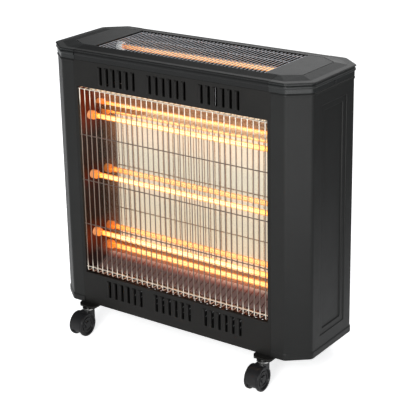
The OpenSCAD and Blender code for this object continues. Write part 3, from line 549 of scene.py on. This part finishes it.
def build_filament(name, material):
    """A coiled wire inside a tube, with a straight tail at each end."""
    low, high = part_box(name + "_tube")
    centre = (Vector(low) + Vector(high)) / 2
    coil_radius = 0.0030
    wire_radius = 0.0006
    wire_sides = 6
    pitch = 0.0026
    steps = 10
    coil_end = high[0] - 0.012
    tail_end = high[0] - 0.001
    turns = int(2 * coil_end / pitch)
    path = []
    for i in range(turns * steps + 1):
        angle = 2 * math.pi * i / steps
        x = -coil_end + 2 * coil_end * i / (turns * steps)
        path.append(centre + Vector((x, coil_radius * math.cos(angle), coil_radius * math.sin(angle))))
    bm = bmesh.new()
    sweep(bm, path, wire_radius, wire_sides)
    for side in (-1, 1):
        tail = [centre + Vector((side * x, coil_radius, 0)) for x in (coil_end, tail_end)]
        sweep(bm, tail, wire_radius, wire_sides)
    coil = new_object(name + "_coil", finish_mesh(bm, name + "_coil"), material)
    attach(coil, "heater")
    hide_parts(name + "_filament")


# ------------------------------------------------------------------ camera, light and floor

AZIMUTH = 35.7
ELEVATION = 19.0
ROLL = -1.1
DISTANCE = 2.4826
TARGET = Vector((0.0173, -0.0174, 0.3536))
FRAME_PX = 408
FOCAL_PX = 1322.5
AXIS_ROW_PX = 170
SENSOR = 36.0
FARTHEST = 50


def add_camera():
    az, el, roll = (math.radians(v) for v in (AZIMUTH, ELEVATION, ROLL))
    back = Vector((math.sin(az) * math.cos(el), -math.cos(az) * math.cos(el), math.sin(el)))
    right = (-back).cross(Vector((0, 0, 1))).normalized()
    up = right.cross(-back)
    turned_right = right * math.cos(roll) + up * math.sin(roll)
    turned_up = up * math.cos(roll) - right * math.sin(roll)
    data = bpy.data.cameras.new("camera")
    data.sensor_width = SENSOR
    data.lens = FOCAL_PX / FRAME_PX * SENSOR
    data.shift_y = (AXIS_ROW_PX - FRAME_PX / 2) / FRAME_PX
    data.clip_end = FARTHEST
    camera = bpy.data.objects.new("camera", data)
    axes = Matrix((turned_right, turned_up, back)).transposed()
    camera.matrix_world = Matrix.Translation(TARGET + back * DISTANCE) @ axes.to_4x4()
    bpy.context.scene.collection.objects.link(camera)
    bpy.context.scene.camera = camera


def set_world():
    """Pale for the camera and through glass, and a soft cool light on matt surfaces. What shines
    mirrors pale walls, dark on the far left and overhead."""
    pale = (0.8, 0.8, 0.8, 1)
    cool = (0.94, 0.97, 1.0, 1)
    dark_share = 0.10
    world = bpy.data.worlds.new("studio")
    bpy.context.scene.world = world
    world.use_nodes = True
    tree = world.node_tree
    soft = tree.nodes["Background"]
    feed(tree, soft, Color=cool, Strength=0.50)

    split = add_node(tree, "SeparateXYZ", Vector=add_node(tree, "TexCoord").outputs["Generated"])
    left = spread(tree, split.outputs["X"], (-0.66, dark_share), (-0.54, 1.0))
    overhead = spread(tree, split.outputs["Z"], (0.40, 1.0), (0.68, dark_share))
    brightness = math_node(tree, "MULTIPLY", left, overhead)
    walls = add_node(tree, "Background", Color=pale, Strength=brightness)
    backdrop = add_node(tree, "Background", Color=pale)

    path = add_node(tree, "LightPath")
    clear = math_node(tree, "MAXIMUM", path.outputs["Is Camera Ray"],
                      path.outputs["Is Transmission Ray"])
    room = mix_shaders(tree, path.outputs["Is Glossy Ray"], soft, walls)
    everything = mix_shaders(tree, clear, room, backdrop)
    feed(tree, tree.nodes["World Output"], Surface=everything.outputs[0])


def floor_material():
    """Pale, and lifted to white for the camera. Painted shade makes it darker behind to the right,
    which the heater's side mirrors, and a painted shadow darkens a patch under the heater."""
    pale, dark = 0.92, 0.25
    behind_right = (0.58, 0.81, 0.0)
    shadow_patch_x, shadow_patch_y = -0.080, 0.072
    surface = Surface("floor", Roughness=0.9, Specular_IOR_Level=0.0, Emission_Color=(1, 1, 1, 1))
    tree, coords = surface.tree, surface.coords
    # Painted shade: darker behind to the right.
    far = spread(tree, reach(tree, coords, behind_right), (0.4, 0.0), (1.2, 1.0))
    # Painted shadow in a patch under the heater.
    beside = spread(tree, distance(tree, coords, "X", shadow_patch_x), (0.17, 0.0), (0.22, 1.0))
    before = spread(tree, distance(tree, coords, "Y", shadow_patch_y), (0.028, 0.0), (0.038, 1.0))
    open_floor = math_node(tree, "MAXIMUM", beside, before)
    shade = math_node(tree, "MAXIMUM", far, math_node(tree, "SUBTRACT", 1.0, open_floor))
    direct = math_node(tree, "MULTIPLY", open_floor, spread(tree, far, (0.0, 0.72), (1.0, 1.0)))
    mirrored = spread(tree, far, (0.0, 0.30), (1.0, 0.0))
    path = add_node(tree, "LightPath")
    lift = math_node(tree, "ADD", math_node(tree, "MULTIPLY", path.outputs["Is Camera Ray"], direct),
                     math_node(tree, "MULTIPLY", path.outputs["Is Glossy Ray"], mirrored))
    surface.feed(Base_Color=spread(tree, shade, (0.0, pale), (1.0, dark)), Emission_Strength=lift)
    return surface.material


def add_floor():
    bm = bmesh.new()
    bmesh.ops.create_grid(bm, x_segments=8, y_segments=8, size=6)
    floor = new_object("floor", finish_mesh(bm, "floor"), floor_material())


def add_area_light(name, place, aim, size, power):
    data = bpy.data.lights.new(name, "AREA")
    data.shape = "RECTANGLE"
    data.size, data.size_y = size
    data.energy = power
    light = bpy.data.objects.new(name, data)
    light.location = place
    light.rotation_euler = (Vector(aim) - Vector(place)).to_track_quat("-Z", "Y").to_euler()
    bpy.context.scene.collection.objects.link(light)
    return light


def light_scene():
    add_area_light("key", place=(1.0, -2.9, 1.6), aim=(0, 0, 0.35), size=(1.0, 1.0), power=56)
    fill = add_area_light("fill", place=(-2.6, -1.6, 1.6), aim=(0, 0, 0.3), size=(1.5, 1.5), power=7)
    fill.visible_glossy = False
    add_area_light("top", place=(0.2, 0.8, 2.6), aim=(0, 0, 0.5), size=(2.0, 1.2), power=16)
    add_area_light("floor_glow", place=(1.20, -1.25, 0.02), aim=(1.20, -1.25, 2.0),
                   size=(1.2, 1.2), power=20)


# ------------------------------------------------------------------ the scene

add_camera()
set_world()
add_floor()
light_scene()
MIRROR = mirror_material()
dress_case()
dress_chamber(MIRROR)
dress_tubes()
dress_hardware()
dress_electrics()
smooth_nodes()
build_reflector(MIRROR)
# The guard's wires carry a painted highlight at their bends and painted shade in between.
build_guard(light_painted_wire("guard_painted_light", highlight_tone=(0.86, 0.80, 0.70), shade_tone=(0.20, 0.155, 0.13)))
build_grille(plated_wire("grille_plating", (0.47, 0.48, 0.51)))
HOT_FRONT = hot_wire("hot_wire_front", strength=4.0)
for tube in FRONT_TUBES:
    build_filament(tube, HOT_FRONT)
build_filament("top", hot_wire("hot_wire_top", strength=2.0))

bpy.context.scene.view_settings.view_transform = "Standard"
